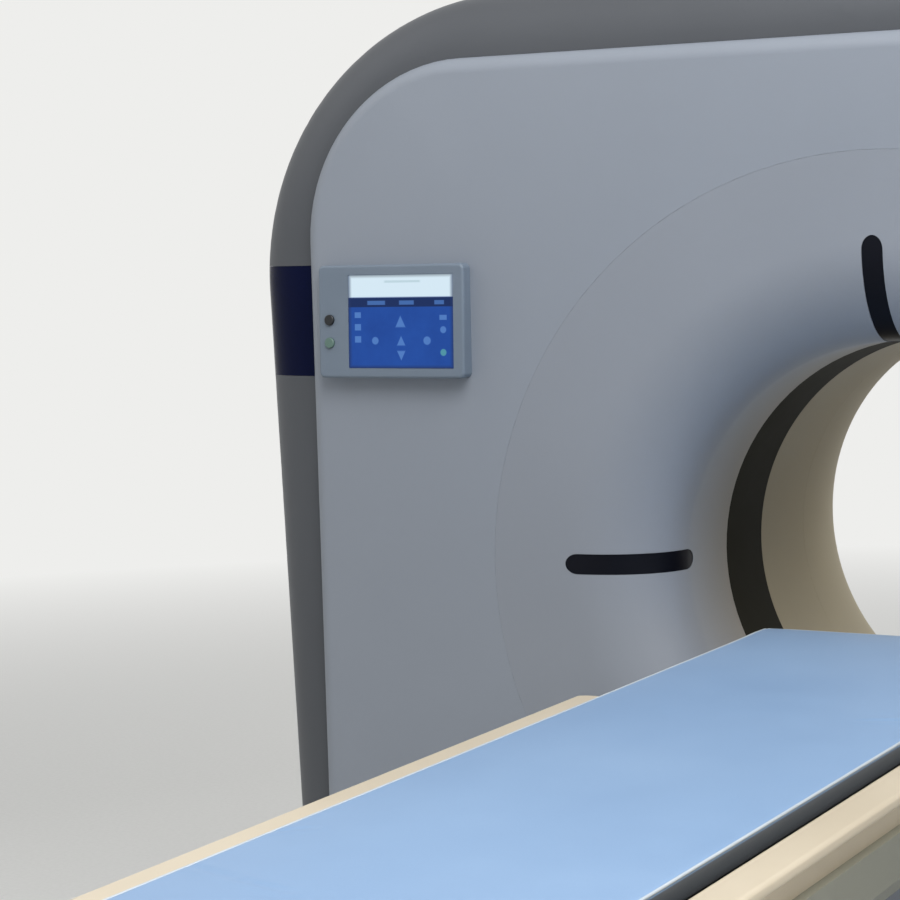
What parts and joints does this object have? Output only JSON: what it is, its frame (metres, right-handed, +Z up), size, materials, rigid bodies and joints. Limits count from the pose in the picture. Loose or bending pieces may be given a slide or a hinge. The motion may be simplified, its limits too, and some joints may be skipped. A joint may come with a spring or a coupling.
{
  "type": "ct scanner",
  "caption": "Ring-shaped scanner gantry with a flared patient bore and side touch panels, and a lifting couch whose long tabletop slides into the bore.",
  "frame": {"origin": "on the floor under the isocentre, at the centre of the gantry's anchor holes", "axes": "+Z up; +Y from the couch through the bore, along the scanner's length; +X to the right seen from the couch"},
  "size_m": [2.2942, 4.045, 1.929],
  "materials": {
    "face": "satin moulded plastic",
    "band": "metallic paint",
    "accent": "gloss",
    "casing": "satin moulded plastic",
    "window": "gloss",
    "lining": "satin moulded plastic",
    "light_window": "gloss",
    "dark_plastic": "matt",
    "panel": "satin moulded plastic",
    "screen": "gloss",
    "button_dark": "gloss",
    "button_pale": "gloss",
    "painted_steel": "powder coat",
    "bearing_steel": "ground",
    "cast_alloy": "machined casting",
    "slip_track": "polished tracks",
    "tube_housing": "enamel",
    "shield": "plain",
    "unit_box": "powder coat",
    "weight_steel": "painted",
    "belt": "matt",
    "skirt": "powder coat",
    "couch_body": "satin moulded plastic",
    "carbon": "clear-coated fibre",
    "rail": "satin moulded plastic",
    "mattress_cover": "coated cloth"
  },
  "bodies": {
    "gantry": {"band_arch": "band", "band_sides": "band", "accents": "accent", "side_covers": "casing", "top_cover": "casing", "front_cover": "face", "front_bell": "face", "scan_window": "window", "rear_lining": "lining", "rear_bell": "lining", "rear_cover": "casing", "light_windows": "light_window", "light_housings": "dark_plastic", "panel_housings": "panel", "panel_screens": "screen", "base_frame": "painted_steel", "stator_frame": "painted_steel", "bearing_outer_ring": "bearing_steel", "brush_block": "dark_plastic", "drive_belt": "belt", "drive_motor": "painted_steel", "fan_frames": "dark_plastic", "supply_cabinets": "unit_box", "couch_base": "painted_steel", "lower_stage": "skirt"},
    "rotor": {"bearing_inner_ring": "bearing_steel", "rotor_drum": "cast_alloy", "slip_ring": "slip_track", "xray_tube": "tube_housing", "tube_saddle": "cast_alloy", "collimator_housing": "painted_steel", "detector_housing": "cast_alloy", "detector_modules": "dark_plastic", "rotor_power_units": "unit_box", "tube_cooler": "unit_box", "counterweights": "weight_steel"},
    "bearing_cage": {"bearing_rollers": "bearing_steel"},
    "drive_pulley": {"motor_pulley": "bearing_steel"},
    "cooler_fan": {"cooler_fan": "dark_plastic"},
    "fan_left": {"gantry_fan_left": "dark_plastic"},
    "fan_right": {"gantry_fan_right": "dark_plastic"},
    "blade_front": {"collimator_blade_front": "shield"},
    "blade_rear": {"collimator_blade_rear": "shield"},
    "button_upper_left": {"upper_button_left": "button_dark"},
    "button_lower_left": {"lower_button_left": "button_pale"},
    "button_upper_right": {"upper_button_right": "button_dark"},
    "button_lower_right": {"lower_button_right": "button_pale"},
    "couch_mid": {"mid_stage": "skirt"},
    "couch_body": {"upper_stage": "skirt", "couch_cover": "couch_body", "couch_frame": "painted_steel", "travel_belt": "belt", "travel_motor": "painted_steel", "edge_rails": "rail"},
    "travel_drive": {"travel_drive_pulley": "bearing_steel"},
    "travel_idler": {"travel_idler_pulley": "bearing_steel"},
    "tabletop": {"carriage": "cast_alloy", "tabletop": "carbon", "end_caps": "rail", "mattress": "mattress_cover"}
  },
  "joints": [
    {"name": "rotor_spin", "type": "hinge", "parent": "gantry", "child": "rotor", "pos_m": [0, 0, 0.98], "axis": [0, 1, 0], "continuous": true},
    {"name": "cage_spin", "type": "hinge", "parent": "gantry", "child": "bearing_cage", "pos_m": [0, 0, 0.98], "axis": [0, 1, 0], "continuous": true},
    {"name": "pulley_spin", "type": "hinge", "parent": "gantry", "child": "drive_pulley", "pos_m": [-0.84, 0, 0.47], "axis": [0, 1, 0], "continuous": true},
    {"name": "fan_left_spin", "type": "hinge", "parent": "gantry", "child": "fan_left", "pos_m": [-0.56, 0, 1.58], "axis": [0, 1, 0], "continuous": true},
    {"name": "fan_right_spin", "type": "hinge", "parent": "gantry", "child": "fan_right", "pos_m": [0.56, 0, 1.58], "axis": [0, 1, 0], "continuous": true},
    {"name": "cooler_fan_spin", "type": "hinge", "parent": "rotor", "child": "cooler_fan", "pos_m": [0.41486, 0, 1.44075], "axis": [0, 1, 0], "continuous": true},
    {"name": "blade_front_slide", "type": "slide", "parent": "rotor", "child": "blade_front", "axis": [0, 1, 0], "range_m": [-0.012, 0.012]},
    {"name": "blade_rear_slide", "type": "slide", "parent": "rotor", "child": "blade_rear", "axis": [0, 1, 0], "range_m": [-0.012, 0.012]},
    {"name": "upper_button_left_press", "type": "slide", "parent": "gantry", "child": "button_upper_left", "axis": [0, 0.9998, -0.0208], "range_m": [0, 0.0025], "stiffness_N_per_m": 400, "springref_m": -0.0005},
    {"name": "lower_button_left_press", "type": "slide", "parent": "gantry", "child": "button_lower_left", "axis": [0, 0.9998, -0.0208], "range_m": [0, 0.0025], "stiffness_N_per_m": 400, "springref_m": -0.0005},
    {"name": "upper_button_right_press", "type": "slide", "parent": "gantry", "child": "button_upper_right", "axis": [0, 0.9998, -0.0208], "range_m": [0, 0.0025], "stiffness_N_per_m": 400, "springref_m": -0.0005},
    {"name": "lower_button_right_press", "type": "slide", "parent": "gantry", "child": "button_lower_right", "axis": [0, 0.9998, -0.0208], "range_m": [0, 0.0025], "stiffness_N_per_m": 400, "springref_m": -0.0005},
    {"name": "couch_lift", "type": "slide", "parent": "gantry", "child": "couch_body", "axis": [0, 0, 1], "range_m": [-0.07, 0.1]},
    {"name": "mid_stage_lift", "type": "slide", "parent": "gantry", "child": "couch_mid", "axis": [0, 0, 1], "range_m": [-0.035, 0.05]},
    {"name": "tabletop_travel", "type": "slide", "parent": "couch_body", "child": "tabletop", "axis": [0, 1, 0], "range_m": [-0.64, 1.25]},
    {"name": "travel_drive_spin", "type": "hinge", "parent": "couch_body", "child": "travel_drive", "pos_m": [0, -3.38, 0.738], "axis": [1, 0, 0], "range_deg": [-3300, 1690]},
    {"name": "travel_idler_spin", "type": "hinge", "parent": "couch_body", "child": "travel_idler", "pos_m": [0, -0.85, 0.738], "axis": [1, 0, 0], "range_deg": [-3300, 1690]}
  ],
  "couplings": [
    {"joint": "cage_spin", "follows": "rotor_spin", "ratio": 0.5},
    {"joint": "pulley_spin", "follows": "rotor_spin", "ratio": 15.026},
    {"joint": "blade_rear_slide", "follows": "blade_front_slide", "ratio": -1},
    {"joint": "mid_stage_lift", "follows": "couch_lift", "ratio": 0.5},
    {"joint": "travel_drive_spin", "follows": "tabletop_travel", "rad_per_m": -45.872},
    {"joint": "travel_idler_spin", "follows": "tabletop_travel", "rad_per_m": -45.872}
  ]
}
